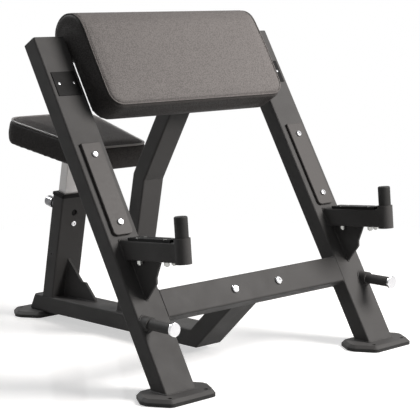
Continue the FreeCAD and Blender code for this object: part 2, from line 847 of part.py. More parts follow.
def make_seat():
    # Sides drawn in towards the plate, a rounded top edge and a crowned top, with a recess for the board
    thick = float(d.seat_thick)
    edge = float(d.seat_edge)
    draw = float(d.seat_draw)
    crown = float(d.seat_crown)
    shoulder = thick - crown - edge
    levels = [(0, draw), (shoulder * seat_belly_share, 0), (shoulder, draw / 2)]
    for step in range(1, edge_steps + 1):
        angle = math.radians(90 * step / edge_steps)
        levels.append((shoulder + edge * math.sin(angle), draw / 2 + edge * (1 - math.cos(angle))))
    rim = draw / 2 + edge
    for share in seat_crown_shares:
        levels.append((thick - crown * (1 - share) ** 2, rim + float(d.seat_crown_reach) * share))
    wires = [seat_section(level, inset) for level, inset in levels]
    corners = [Vector(float(x), float(y), 0) for x, y in seat_corners(d.seat_board_inset - d.pad_gap)]
    floor = Part.Face(Part.makePolygon(corners + corners[:1]))
    recess = floor.extrude(Vector(0, 0, float(d.seat_board_thick + d.pad_gap)))
    cushion = Part.makeLoft(wires, True, True).cut(recess)
    add_shape("seat_pad", cushion, place_in(seat_frame, 0, 0, seat_bottom))


def make_pin():
    barrel = new_body("pin_barrel")
    rod(barrel, d.barrel_radius, d.barrel_long, (0, half_deep, pin_height), rearward)
    drill(barrel, d.pin_radius + d.pin_gap, (0, 0, pin_height))
    barrel.Placement = seat_frame

    knob_start = half_deep + d.barrel_long + d.knob_gap
    tip = d.post_deep / 2 - d.post_wall - d.pin_reach
    plunger = new_body("pin_plunger")
    rod(plunger, d.pin_radius, knob_start + d.knob_socket - tip, (0, tip, pin_height), rearward)
    plunger.Placement = seat_frame

    knob = new_body("pin_knob")
    head_start = knob_start + d.knob_neck_long
    head = rod(knob, d.knob_radius, d.knob_long, (0, head_start, pin_height), rearward)
    dress(knob, "Fillet", head, d.knob_round, lambda edge: edge.Curve.TypeId == "Part::GeomCircle")
    rod(knob, d.knob_neck_radius, d.knob_neck_long + d.knob_round, (0, knob_start, pin_height), rearward)
    drill(knob, d.pin_radius + d.knob_fit, (0, knob_start - d.knob_neck_long, pin_height),
          d.knob_neck_long + d.knob_socket)
    knob.Placement = seat_frame


def catch_frame(side):
    foot = upright_frames[side].multVec(Vector(0, 0, float(d.catch_height)))
    return frame_at(foot.x, foot.y, foot.z, 90 - float(d.catch_angle))


liner_bolt_places = [(sign * d.liner_bolt_half_gauge, d.liner_bolt_first + step * d.liner_bolt_pitch)
                     for sign in sides.values() for step in range(2)]
half_arm = d.arm_tall / 2
liner_seat = half_arm + d.liner_thick - d.small_head_tall - d.hole_gap


def make_catch(side):
    # Arm along Z from the upright's front face, with Y up
    frame = catch_frame(side)
    fall = d.lean_angle - d.catch_angle
    arm = tube(f"{side}_catch_arm", d.arm_wide, d.arm_tall, d.tube_wall, d.tube_round,
               -d.arm_tall, d.catch_reach, -half_arm)
    slice_off(arm, 0, 0, 180 - float(fall))
    rod(arm, d.socket_radius, 2 * d.arm_tall, (0, -d.arm_tall, d.catch_reach), rearward, "Subtractive")
    hole = d.small_shank_radius + d.hole_gap
    for across, along in liner_bolt_places:
        drill(arm, hole, (across, -d.arm_tall, along))

    socket = new_body(f"{side}_catch_socket")
    foot = -half_arm - d.socket_drop
    tall = d.arm_tall + d.socket_drop + d.socket_rise
    rod(socket, d.socket_radius, tall, (0, foot, d.catch_reach), rearward)
    drill(socket, d.peg_radius + d.peg_gap, (0, 2 * foot, d.catch_reach), 2 * d.overrun)

    peg = new_body(f"{side}_catch_peg")
    stem = rod(peg, d.peg_radius, tall + d.peg_stand, (0, foot, d.catch_reach), rearward)
    tip = foot + tall + d.peg_stand
    dress(peg, "Fillet", stem, d.peg_round, lambda edge: at_level(edge, along_y, tip))

    liner = new_body(f"{side}_catch_liner")
    long = d.catch_reach - d.socket_radius - d.liner_end_gap - d.liner_start
    sole = block(liner, d.liner_wide, d.liner_thick, long, (-d.liner_wide / 2, half_arm, d.liner_start))
    liner_top = half_arm + d.liner_thick
    dress(liner, "Fillet", sole, d.liner_round, lambda edge: at_level(edge, along_y, liner_top))
    for across, along in liner_bolt_places:
        drill(liner, hole, (across, 0, along))
        drill(liner, d.small_head_radius + d.hole_gap, (across, liner_seat, along))
    for body in (arm, socket, peg, liner):
        body.Placement = frame

    # The gusset's upper edge follows the underside of the arm
    gusset = new_body(f"{side}_catch_gusset")
    out = d.catch_gusset_out
    under = d.catch_height - half_arm / cos(fall)
    brow = catch_brow_share * out
    tall = d.catch_gusset_tall
    low = under - tall
    points = [(zero, low), (zero, under), (-out, under - out * tan(fall)),
              (-brow, low + catch_shelf_share * tall),
              (d.catch_gusset_step - brow, low + catch_heel_share * tall)]
    outline_pad(gusset, "YZ_Plane", points, d.catch_gusset_thick, symmetric=True)
    gusset.Placement = upright_frames[side]


def make_liner_fasteners():
    frames = [catch_frame(side) for side in sides]
    long = liner_seat + half_arm + d.small_nut_tall + d.bolt_tail
    master = bolt("liner_bolt", d.small_head_radius, d.small_head_tall, d.small_shank_radius, long,
                  d.small_socket)
    group("liner_bolts", master, [place_in(frame, x, liner_seat, z, rearward)
                                  for frame in frames for x, z in liner_bolt_places])
    master = nut("liner_nut", d.small_nut_flats, d.small_nut_tall, d.small_shank_radius)
    group("liner_nuts", master, [place_in(frame, x, -half_arm, z, rearward)
                                 for frame in frames for x, z in liner_bolt_places])


def make_strip(side):
    strip = new_body(f"{side}_wear_strip")
    panel = block(strip, d.strip_wide, d.strip_thick, strip_high - strip_low,
                  (-d.strip_wide / 2, -d.strip_thick, strip_low))
    rounded = dress(strip, "Fillet", panel, d.strip_corner,
                    lambda edge: lies_along(edge, along_y) and at_level(edge, along_z, strip_low))
    dress(strip, "Chamfer", rounded, d.strip_bevel, lambda edge: at_level(edge, along_y, -d.strip_thick))
    for height in strip_bolt_heights:
        drill(strip, d.mid_shank_radius + d.hole_gap, (0, -d.overrun, height), 2 * d.overrun)
    strip.Placement = upright_frames[side]

    badge = new_body(f"{side}_badge_plate")
    block(badge, d.badge_wide, d.badge_thick, d.badge_tall,
          (-d.badge_wide / 2, -d.badge_thick, badge_low))
    for across in rivet_places:
        drill(badge, d.rivet_shank_radius + d.hole_gap, (across, -d.overrun, rivet_height), 2 * d.overrun)
    badge.Placement = upright_frames[side]


def make_front_fasteners():
    frames = upright_frames.values()
    master = bolt("strip_bolt", d.mid_head_radius, d.mid_head_tall, d.mid_shank_radius,
                  d.strip_thick + d.tube_wall + d.bolt_tail, d.mid_socket)
    group("strip_bolts", master, [place_in(frame, 0, -d.strip_thick, height, forward)
                                  for frame in frames for height in strip_bolt_heights])
    master = bolt("badge_rivet", d.rivet_head_radius, d.rivet_head_tall, d.rivet_shank_radius,
                  d.badge_thick + d.tube_wall)
    group("badge_rivets", master, [place_in(frame, across, -d.badge_thick, rivet_height, forward)
                                   for frame in frames for across in rivet_places])


def make_band_peg(side):
    # Level peg near the outer edge of the upright, with a collar at its root
    foot = upright_frames[side].multVec(Vector(sides[side] * float(d.band_out), 0, float(d.band_height)))
    frame = frame_at(foot.x, foot.y, foot.z, 90)
    peg = new_body(f"{side}_band_peg")
    rod(peg, d.band_radius, d.band_long + d.collar_radius, (0, 0, -d.collar_radius))
    rod(peg, d.collar_radius, d.collar_long + d.collar_radius, (0, 0, -d.collar_radius))
    slice_off(peg, 0, 0, 180 - float(d.lean_angle))
    peg.Placement = frame
    end = new_body(f"{side}_band_peg_end")
    disc = rod(end, d.end_radius, d.end_thick, (0, 0, d.band_long))
    dress(end, "Fillet", disc, d.end_round, lambda edge: at_level(edge, along_z, d.band_long + d.end_thick))
    end.Placement = frame


make_foot("rear", zero, rear_foot_y, 1)
for side, sign in sides.items():
    make_foot(side, sign * half_spread, front_foot_y, -1)
    make_upright(side)
    make_upright_cap(side)
make_cross_beam()
make_base()
make_spine()
make_pad_mount()
make_arm_pad()
make_sleeve()
make_seat_gusset()
make_post()
make_seat_mount()
make_seat()
make_pin()
for side in sides:
    make_catch(side)
    make_strip(side)
    make_band_peg(side)
make_liner_fasteners()
make_front_fasteners()

doc.recompute()
for thing in doc.Objects:
    if "Invalid" in thing.State or "Error" in thing.State:
        raise RuntimeError(f"{thing.Label} is {thing.State}")
for node in nodes:
    if node.Shape.isNull() or not node.Shape.isValid():
        raise RuntimeError(f"{node.Label} has no valid shape")
os.makedirs("parts", exist_ok=True)
for node in nodes:
    node.Shape.exportStep(f"parts/{node.Label}.step")
print(len(nodes), "sub-parts,", sum(len(node.Shape.Solids) for node in nodes), "solids")
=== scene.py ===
import json
import math

import bmesh
import bpy
import numpy as np
from mathutils import Matrix, Vector, kdtree
from mathutils.bvhtree import BVHTree
from mathutils.geometry import convex_hull_2d


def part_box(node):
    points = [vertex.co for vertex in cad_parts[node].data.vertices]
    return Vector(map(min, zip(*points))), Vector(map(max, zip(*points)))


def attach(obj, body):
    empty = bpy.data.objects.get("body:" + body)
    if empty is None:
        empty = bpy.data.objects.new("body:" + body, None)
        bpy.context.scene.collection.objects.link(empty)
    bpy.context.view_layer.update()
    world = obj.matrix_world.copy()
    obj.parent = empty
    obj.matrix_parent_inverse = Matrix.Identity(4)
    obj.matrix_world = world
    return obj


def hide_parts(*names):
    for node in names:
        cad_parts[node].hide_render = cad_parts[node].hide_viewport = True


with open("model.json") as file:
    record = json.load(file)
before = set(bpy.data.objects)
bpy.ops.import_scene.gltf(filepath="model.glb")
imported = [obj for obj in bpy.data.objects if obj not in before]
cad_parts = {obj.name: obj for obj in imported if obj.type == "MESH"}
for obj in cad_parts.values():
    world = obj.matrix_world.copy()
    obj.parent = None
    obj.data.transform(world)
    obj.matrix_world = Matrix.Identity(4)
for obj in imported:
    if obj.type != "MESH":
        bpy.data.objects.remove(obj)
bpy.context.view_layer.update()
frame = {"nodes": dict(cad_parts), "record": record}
nodes = frame["nodes"]
scene = bpy.context.scene

# where the two padded parts lie: the pad along the uprights' slope, the seat along its post
bench = {
    "lean": -30,
    "seatLean": 12,
    "postFoot": (0, 0.4385, 0.067),
}


def tilted(origin, degrees):
    return Matrix.Translation(origin) @ Matrix.Rotation(math.radians(degrees), 4, "X")


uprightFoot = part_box("left_upright")[0]
slope = tilted((0, uprightFoot.y, uprightFoot.z), bench["lean"])
postLine = tilted(bench["postFoot"], bench["seatLean"])
print("bench loaded:", len(nodes), "nodes")


# small helpers for the shader trees


def newFinish(name):
    material = bpy.data.materials.new(name)
    material.use_nodes = True
    tree = material.node_tree
    place = tree.nodes.new("ShaderNodeTexCoord")
    return material, tree, tree.nodes["Principled BSDF"], place.outputs["Object"]


def stretched(tree, vector, scale):
    mapping = tree.nodes.new("ShaderNodeMapping")
    mapping.inputs["Scale"].default_value = scale
    tree.links.new(vector, mapping.inputs["Vector"])
    return mapping.outputs["Vector"]


def noise(tree, vector, scale, detail, rough):
    node = tree.nodes.new("ShaderNodeTexNoise")
    node.inputs["Scale"].default_value = scale
    node.inputs["Detail"].default_value = detail
    node.inputs["Roughness"].default_value = rough
    tree.links.new(vector, node.inputs["Vector"])
    return node.outputs["Fac"]


def cells(tree, vector, scale):
    node = tree.nodes.new("ShaderNodeTexVoronoi")
    node.feature = "F1"
    node.inputs["Scale"].default_value = scale
    tree.links.new(vector, node.inputs["Vector"])
    return node.outputs["Distance"]


def spread(tree, value, low, high, toLow, toHigh):
    node = tree.nodes.new("ShaderNodeMapRange")
    for name, number in (("From Min", low), ("From Max", high), ("To Min", toLow), ("To Max", toHigh)):
        node.inputs[name].default_value = number
    tree.links.new(value, node.inputs["Value"])
    return node.outputs["Result"]


def mixed(tree, kind, first, second=0.0):
    node = tree.nodes.new("ShaderNodeMath")
    node.operation = kind
    for socket, value in zip(node.inputs, (first, second)):
        if isinstance(value, (int, float)):
            socket.default_value = value
        else:
            tree.links.new(value, socket)
    return node.outputs["Value"]


def tinted(tree, factor, dark, light):
    node = tree.nodes.new("ShaderNodeMix")
    node.data_type = "RGBA"
    colours = [socket for socket in node.inputs if socket.type == "RGBA"]
    colours[0].default_value = (*dark, 1)
    colours[1].default_value = (*light, 1)
    tree.links.new(factor, node.inputs["Factor"])
    return [socket for socket in node.outputs if socket.type == "RGBA"][0]


def blended(tree, first, second, shares):
    parts = [mixed(tree, "MULTIPLY", value, share) for value, share in zip((first, second), shares)]
    return mixed(tree, "ADD", *parts)


def bumped(tree, shader, height, distance, strength):
    node = tree.nodes.new("ShaderNodeBump")
    node.inputs["Distance"].default_value = distance
    node.inputs["Strength"].default_value = strength
    tree.links.new(height, node.inputs["Height"])
    tree.links.new(node.outputs["Normal"], shader.inputs["Normal"])


# finishes: a noise is given as scale, detail and roughness, a bump as distance and strength

noiseSpan = (0.3, 0.7)


def dressed(tree, shader, look, colour, worn, height):
    # joins a colour, the pattern that the roughness follows and the pattern of the relief
    tree.links.new(colour, shader.inputs["Base Color"])
    roughness = spread(tree, worn, *look.get("wornSpan", noiseSpan), *look["rough"])
    tree.links.new(roughness, shader.inputs["Roughness"])
    for name, value in look["sockets"].items():
        shader.inputs[name].default_value = value
    bumped(tree, shader, height, *look["bump"])


chrome = {"cloud": (90, 3, 0.6), "grain": (700, 2, 0.5), "rough": (0.1, 0.22), "bump": (0.00005, 0.2),
          "sockets": {"Metallic": 1.0}}
plainLooks = {
    "footRubber": {
        "dark": (0.014, 0.014, 0.014), "light": (0.028, 0.028, 0.027),
        "cloud": (30, 4, 0.6), "grain": (900, 3, 0.65),
        "rough": (0.62, 0.78), "bump": (0.0002, 0.5), "sockets": {"Specular IOR Level": 0.3}},
    "capPlastic": {
        "dark": (0.022, 0.022, 0.022), "light": (0.036, 0.035, 0.034),
        "cloud": (40, 3, 0.6), "grain": (1500, 2, 0.5),
        "rough": (0.42, 0.52), "bump": (0.00015, 0.4), "sockets": {"Specular IOR Level": 0.32}},
    # stoved black on the bare plates, and the black plastic of the liners and the post's guide
    "badgeBlack": {
        "dark": (0.005, 0.005, 0.005), "light": (0.0105, 0.0102, 0.010),
        "cloud": (50, 3, 0.6), "grain": (900, 2, 0.6),
        "rough": (0.45, 0.58), "bump": (0.00015, 0.4), "sockets": {"Specular IOR Level": 0.09}},
    "chromePlate": {"dark": (0.56, 0.56, 0.575), "light": (0.74, 0.74, 0.75), **chrome},
    # the pin's knob is darker than the bolts
    "knobChrome": {"dark": (0.03, 0.03, 0.032), "light": (0.30, 0.30, 0.31), **chrome},
    # the seat's piping: its grain smoother, and its colour much lighter than the hide as a painted highlight
    # along the seat's edges
    "weltPaintedHighlight": {
        "dark": (0.350, 0.333, 0.326), "light": (0.450, 0.429, 0.420),
        "cloud": (900, 3, 0.6), "grain": (900, 3, 0.6),
        "rough": (0.34, 0.44), "bump": (0.0001, 0.4), "sockets": {"Specular IOR Level": 0.5}},
    "seamThread": {
        "dark": (0.030, 0.029, 0.028), "light": (0.060, 0.058, 0.056),
        "cloud": (2400, 2, 0.6), "grain": (2400, 2, 0.6),
        "rough": (0.5, 0.65), "bump": (0.0001, 0.5), "sockets": {}},
}


def plainFinish(name):
    look = plainLooks[name]
    material, tree, shader, place = newFinish(name)
    cloud = noise(tree, place, *look["cloud"])
    colour = tinted(tree, cloud, look["dark"], look["light"])
    dressed(tree, shader, look, colour, cloud, noise(tree, place, *look["grain"]))
    return material


def powderCoat():
    look = {"dark": (0.040, 0.039, 0.0385), "light": (0.072, 0.070, 0.069),
            "grain": (620, 2, 0.6), "mottle": (18, 4, 0.6), "shares": (0.45, 0.55),
            "rough": (0.62, 0.74), "bump": (0.0004, 0.6), "sockets": {"Specular IOR Level": 0.3}}
    material, tree, shader, place = newFinish("powderCoat")
    grain = noise(tree, place, *look["grain"])
    mottle = noise(tree, place, *look["mottle"])
    shade = blended(tree, grain, mottle, look["shares"])
    dressed(tree, shader, look, tinted(tree, shade, look["dark"], look["light"]), mottle, grain)
    return material


def padLeather():
    # pebbled hide: the sewn panels in the hide's colour, and the strip round their sides darker as painted
    # shade
    look = {"dark": (0.100, 0.093, 0.0905), "light": (0.216, 0.2015, 0.196), "sideShadeShare": 0.42,
            "pebble": 290, "pebbleSpan": (0.05, 0.75), "fine": (900, 2, 0.6), "reliefShares": (1.0, 0.35),
            "mottle": (11, 4, 0.6), "shares": (0.62, 0.2), "wornSpan": (0.2, 1.2),
            "rough": (0.7, 0.54), "bump": (0.0005, 0.7), "sockets": {"Specular IOR Level": 0.13}}
    material, tree, shader, place = newFinish("padLeather")
    pebble = spread(tree, cells(tree, place, look["pebble"]), *look["pebbleSpan"], 1, 0)
    height = blended(tree, pebble, noise(tree, place, *look["fine"]), look["reliefShares"])
    shade = blended(tree, height, noise(tree, place, *look["mottle"]), look["shares"])
    side = tree.nodes.new("ShaderNodeAttribute")
    side.attribute_name = "side"
    # the colour is scaled down where the side mark is set: painted shade on the side strips
    sideShaded = tree.nodes.new("ShaderNodeVectorMath")
    sideShaded.operation = "SCALE"
    tree.links.new(tinted(tree, shade, look["dark"], look["light"]), sideShaded.inputs["Vector"])
    tree.links.new(spread(tree, side.outputs["Fac"], 0, 1, 1, look["sideShadeShare"]), sideShaded.inputs["Scale"])
    dressed(tree, shader, look, sideShaded.outputs["Vector"], height, height)
    return material


def wearPlastic():
    # moulded polyethylene with a faint drawn grain along the upright
    look = {"dark": (0.049, 0.0456, 0.0442), "light": (0.0752, 0.0705, 0.0682),
            "grain": (800, 2, 0.6), "drawnScale": (260, 260, 18), "drawn": (1, 3, 0.6),
            "rough": (0.5, 0.6), "bump": (0.00018, 0.5), "sockets": {"Specular IOR Level": 0.26}}
    material, tree, shader, place = newFinish("wearPlastic")
    grain = noise(tree, place, *look["grain"])
    drawn = noise(tree, stretched(tree, place, look["drawnScale"]), *look["drawn"])
    colour = tinted(tree, drawn, look["dark"], look["light"])
    dressed(tree, shader, look, colour, drawn, mixed(tree, "ADD", grain, drawn))
    return material


def postSteel():
    # drawn tube with a satin plated skin: fine lines along the post and a few scuffs from the guide
    look = {"dark": (0.50, 0.49, 0.482), "light": (0.66, 0.648, 0.638),
            "lineScale": (900, 900, 12), "lines": (1, 3, 0.6), "scuff": (60, 4, 0.65),
            "rough": (0.26, 0.42), "bump": (0.00006, 0.35),
            "sockets": {"Metallic": 0.45, "Specular IOR Level": 0.3}}
    material, tree, shader, place = newFinish("postSteel")
    lines = noise(tree, stretched(tree, place, look["lineScale"]), *look["lines"])
    scuff = noise(tree, place, *look["scuff"])
    dressed(tree, shader, look, tinted(tree, lines, look["dark"], look["light"]), scuff, lines)
    return material


def zincPlate():
    look = {"dark": (0.40, 0.40, 0.385), "light": (0.60, 0.60, 0.575),
            "spangle": 420, "cloud": (70, 3, 0.6), "wornSpan": (0.1, 0.7),
            "rough": (0.34, 0.5), "bump": (0.00005, 0.25), "sockets": {"Metallic": 1.0}}
    material, tree, shader, place = newFinish("zincPlate")
    spangle = cells(tree, place, look["spangle"])
    cloud = noise(tree, place, *look["cloud"])
    dressed(tree, shader, look, tinted(tree, cloud, look["dark"], look["light"]), spangle, spangle)
    return material


def plywood():
    look = {"dark": (0.30, 0.205, 0.115), "light": (0.50, 0.37, 0.225),
            "grainScale": (7, 150, 150), "grain": (1, 5, 0.62),
            "poreScale": (40, 900, 900), "pores": (1, 2, 0.6), "shares": (0.75, 0.25),
            "rough": (0.58, 0.72), "bump": (0.0002, 0.5), "sockets": {}}
    material, tree, shader, place = newFinish("plywood")
    grain = noise(tree, stretched(tree, place, look["grainScale"]), *look["grain"])
    pores = noise(tree, stretched(tree, place, look["poreScale"]), *look["pores"])
    shade = spread(tree, blended(tree, grain, pores, look["shares"]), *noiseSpan, 0, 1)
    dressed(tree, shader, look, tinted(tree, shade, look["dark"], look["light"]), pores, pores)
    return material


finishes = {
    "powder_coat": powderCoat(),
    "pad_leather": padLeather(),
    "foot_rubber": plainFinish("footRubber"),
    "wear_plastic": wearPlastic(),
    "cap_plastic": plainFinish("capPlastic"),
    "bright": plainFinish("chromePlate"),
    "post_steel": postSteel(),
    "zinc": zincPlate(),
    "board": plywood(),
}
thread = plainFinish("seamThread")
# the welt's light colour is a painted highlight on the seat's piping
welt = plainFinish("weltPaintedHighlight")
black = plainFinish("badgeBlack")
knobChrome = plainFinish("knobChrome")
blackened = ("left_catch_liner", "right_catch_liner", "left_badge_plate", "right_badge_plate", "seat_guide")
ownFinish = {"pin_knob": knobChrome, **{name: black for name in blackened}}

for subpart in frame["record"]["subparts"]:
    mesh = nodes[subpart["node"]].data
    mesh.materials.clear()
    mesh.materials.append(ownFinish.get(subpart["node"], finishes[subpart["material_slot"]]))
print("finishes on every node:", len(finishes))


# geometry node trees for what runs along a seam or a joint


def newTree(name, inputs):
    tree = bpy.data.node_groups.new(name, "GeometryNodeTree")
    tree.interface.new_socket("Geometry", in_out="INPUT", socket_type="NodeSocketGeometry")
    tree.interface.new_socket("Geometry", in_out="OUTPUT", socket_type="NodeSocketGeometry")
    sockets = {}
    for label, kind in inputs.items():
        socket = tree.interface.new_socket(label, in_out="INPUT", socket_type=f"NodeSocket{kind}")
        sockets[label] = socket.identifier
    entry = tree.nodes.new("NodeGroupInput")
    out = tree.nodes.new("NodeGroupOutput")
    return tree, entry.outputs, out.inputs["Geometry"], sockets


def addStep(tree, kind, **links):
    node = tree.nodes.new(kind)
    for name, value in links.items():
        socket = node.inputs[name.replace("_", " ")]
        if isinstance(value, bpy.types.NodeSocket):
            tree.links.new(value, socket)
        else:
            socket.default_value = value
    return node


def finishTree(tree, geometry, entry, out):
    smooth = addStep(tree, "GeometryNodeSetShadeSmooth", Geometry=geometry)
    real = addStep(tree, "GeometryNodeRealizeInstances", Geometry=smooth.outputs["Geometry"])
    painted = addStep(tree, "GeometryNodeSetMaterial", Geometry=real.outputs["Geometry"],
                      Material=entry["Material"])
    tree.links.new(painted.outputs["Geometry"], out)


def resampled(tree, entry):
    curve = addStep(tree, "GeometryNodeMeshToCurve", Mesh=entry["Geometry"])
    even = addStep(tree, "GeometryNodeResampleCurve", Curve=curve.outputs["Curve"])
    even.mode = "LENGTH"
    tree.links.new(entry["Pitch"], even.inputs["Length"])
    return even.outputs["Curve"]


def beadTree():
    # a round bead along a path, with ripples for a weld or plain for piping
    tree, entry, out, sockets = newTree("beadAlongPath", {
        "Pitch": "Float", "Radius": "Float", "Ripple": "Float", "Turn": "Float", "Sides": "Int",
        "Material": "Material"})
    path = resampled(tree, entry)
    index = tree.nodes.new("GeometryNodeInputIndex").outputs["Index"]
    wave = mixed(tree, "SINE", mixed(tree, "MULTIPLY", index, entry["Turn"]))
    ripple = mixed(tree, "ADD", mixed(tree, "MULTIPLY", wave, entry["Ripple"]), 1.0)
    ring = addStep(tree, "GeometryNodeCurvePrimitiveCircle", Resolution=entry["Sides"],
                   Radius=entry["Radius"])
    tube = addStep(tree, "GeometryNodeCurveToMesh", Curve=path, Profile_Curve=ring.outputs["Curve"],
                   Scale=ripple)
    tube.inputs["Fill Caps"].default_value = True
    finishTree(tree, tube.outputs["Mesh"], entry, out)
    return tree, sockets


barForm = {"Segments": 8, "Rings": 6, "Radius": 1.0}


def stitchTree():
    # short rounded bars along a path that lie on a surface
    tree, entry, out, sockets = newTree("barsAlongPath", {
        "Pitch": "Float", "Bar": "Vector", "Lift": "Float", "Surface": "Object", "Material": "Material"})
    path = resampled(tree, entry)
    surface = addStep(tree, "GeometryNodeObjectInfo", Object=entry["Surface"]).outputs["Geometry"]
    near = tree.nodes.new("GeometryNodeSampleNearestSurface")
    near.data_type = "FLOAT_VECTOR"
    tree.links.new(surface, near.inputs["Mesh"])
    tree.links.new(tree.nodes.new("GeometryNodeInputNormal").outputs["Normal"], near.inputs["Value"])
    points = tree.nodes.new("GeometryNodeCurveToPoints")
    points.mode = "EVALUATED"
    tree.links.new(path, points.inputs["Curve"])
    stand = addStep(tree, "FunctionNodeAlignRotationToVector", Vector=near.outputs["Value"])
    stand.axis = "Z"
    lie = addStep(tree, "FunctionNodeAlignRotationToVector", Rotation=stand.outputs["Rotation"],
                  Vector=points.outputs["Tangent"])
    lie.axis = "X"
    lie.pivot_axis = "Z"
    rise = tree.nodes.new("ShaderNodeVectorMath")
    rise.operation = "SCALE"
    tree.links.new(near.outputs["Value"], rise.inputs["Vector"])
    tree.links.new(entry["Lift"], rise.inputs["Scale"])
    lifted = addStep(tree, "GeometryNodeSetPosition", Geometry=points.outputs["Points"],
                     Offset=rise.outputs["Vector"])
    ball = addStep(tree, "GeometryNodeMeshUVSphere", **barForm)
    bar = addStep(tree, "GeometryNodeTransform", Geometry=ball.outputs["Mesh"], Scale=entry["Bar"])
    bars = addStep(tree, "GeometryNodeInstanceOnPoints", Points=lifted.outputs["Geometry"],
                   Instance=bar.outputs["Geometry"], Rotation=lie.outputs["Rotation"])
    finishTree(tree, bars.outputs["Instances"], entry, out)
    return tree, sockets


bead = beadTree()
bars = stitchTree()


def pathMesh(name, paths, closed):
    mesh = bpy.data.meshes.new(name)
    points = []
    edges = []
    for path in paths:
        start = len(points)
        points.extend(tuple(point) for point in path)
        edges.extend((start + i, start + i + 1) for i in range(len(path) - 1))
        if closed:
            edges.append((len(points) - 1, start))
    mesh.from_pydata(points, edges, [])
    return mesh


def evaluatedMesh(piece):
    bpy.context.view_layer.update()
    return bpy.data.meshes.new_from_object(piece.evaluated_get(bpy.context.evaluated_depsgraph_get()))


def alongPath(name, paths, closed, treeAndSockets, body, slot, **values):
    tree, sockets = treeAndSockets
    holder = bpy.data.objects.new(name + "Path", pathMesh(name + "Path", paths, closed))
    scene.collection.objects.link(holder)
    modifier = holder.modifiers.new("along", "NODES")
    modifier.node_group = tree
    for label, value in values.items():
        modifier[sockets[label]] = value
    made = evaluatedMesh(holder)
    bpy.data.objects.remove(holder)
    piece = bpy.data.objects.new(name, made)
    made.name = name
    scene.collection.objects.link(piece)
    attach(piece, body)


# cushions: the solid's form is drawn in, remeshed and swollen again as cloth over foam

coverCloth = {"quality": 4, "mass": 0.4, "stretch": 18, "bending": 0.8, "pressure": 4.0, "frames": 20,
              "smoothShare": 0.5, "finer": 1}
sewing = {
    "piping": {"Pitch": 0.003, "Ripple": 0.0, "Turn": 1.0, "Sides": 10},
    "stitches": {"Pitch": 0.0062, "Bar": (0.0023, 0.00055, 0.0005), "Lift": 0.0001},
    "seamEasing": 3, "laidEasing": 2, "seamReach": 3,
}
boardFace = 0.0005  # points this near a board's rearmost are on its back face
# what the two cushions have in common
upholstery = {
    "merge": 0.00002, "boardGrow": 0.0008, "boardShow": 0.0012, "rim": 0.003, "easing": 2, "looseFrom": 0.1,
    "evening": 6, "smoothing": 3, "fill": 0.9, "seamIn": 0.0035, "stitchIn": 0.0105, "pipingSink": 0.0004,
}


def localPoints(points, place):
    spun = np.array(place.inverted())
    return points @ spun[:3, :3].T + spun[:3, 3]


def worldPoints(points, place):
    spun = np.array(place)
    return points @ spun[:3, :3].T + spun[:3, 3]


def vertexArray(mesh, what="co"):
    source = mesh.vertices if what == "co" else mesh.vertex_normals
    values = np.zeros(len(mesh.vertices) * 3)
    source.foreach_get("co" if what == "co" else "vector", values)
    return values.reshape(-1, 3)


def swapMesh(piece, mesh):
    piece.modifiers.clear()
    piece.data = mesh


def joinedForm(name, cover, board, grow):
    # one closed form of a cover and the board it is recessed for, which is grown to close the gap
    form = bmesh.new()
    form.from_mesh(nodes[cover].data)
    boardForm = bmesh.new()
    boardForm.from_mesh(nodes[board].data)
    bmesh.ops.remove_doubles(boardForm, verts=boardForm.verts, dist=upholstery["merge"])
    for vertex in boardForm.verts:
        vertex.co += vertex.normal * grow
    filler = bpy.data.meshes.new(name + "Filler")
    boardForm.to_mesh(filler)
    form.from_mesh(filler)
    bmesh.ops.remove_doubles(form, verts=form.verts, dist=upholstery["merge"])
    mesh = bpy.data.meshes.new(name)
    form.to_mesh(mesh)
    form.free()
    boardForm.free()
    piece = bpy.data.objects.new(name, mesh)
    scene.collection.objects.link(piece)
    return piece


def evened(values, edges, rounds):
    # averages a value at each point with its neighbours
    count = np.bincount(edges.ravel(), minlength=len(values))
    for step in range(rounds):
        sums = np.bincount(edges[:, 0], values[edges[:, 1]], len(values))
        sums += np.bincount(edges[:, 1], values[edges[:, 0]], len(values))
        values = (values + sums / np.maximum(count, 1)) / 2
    return values


def swell(piece, held, normals, edges, cushion):
    # runs the drawn-in cover as cloth under pressure and returns how far each point comes out again
    group = piece.vertex_groups.new(name="board")
    group.add([int(i) for i in np.flatnonzero(held)], 1.0, "REPLACE")
    start = vertexArray(piece.data)
    cloth = piece.modifiers.new("cover", "CLOTH")
    settings = cloth.settings
    settings.vertex_group_mass = "board"
    settings.use_pressure = True
    settings.uniform_pressure_force = coverCloth["pressure"]
    settings.effector_weights.gravity = 0
    settings.quality = coverCloth["quality"]
    settings.mass = coverCloth["mass"]
    settings.tension_stiffness = coverCloth["stretch"]
    settings.compression_stiffness = coverCloth["stretch"]
    settings.bending_stiffness = coverCloth["bending"]
    cloth.point_cache.frame_start = 1
    cloth.point_cache.frame_end = coverCloth["frames"]
    for step in range(1, coverCloth["frames"] + 1):
        scene.frame_set(step)
    swollen = evaluatedMesh(piece)
    moved = vertexArray(swollen) - start
    bpy.data.meshes.remove(swollen)
    piece.modifiers.clear()
    scene.frame_set(1)
    least = cushion["drawIn"] - cushion["tuck"]
    most = cushion["drawIn"] + cushion["crown"]
    out = np.clip((moved * normals).sum(1), least, most)
    return evened(out, edges, cushion["evening"])


def insideLoop(points, loop):
    # which flat points lie within a closed outline
    inside = np.zeros(len(points), bool)
    for first, last in zip(loop, loop[1:] + loop[:1]):
        spans = (points[:, 1] < first.y) != (points[:, 1] < last.y)
        rise = (last.y - first.y) or 1.0
        meets = first.x + (points[:, 1] - first.y) * (last.x - first.x) / rise
        inside ^= spans & (points[:, 0] < meets)
    return inside


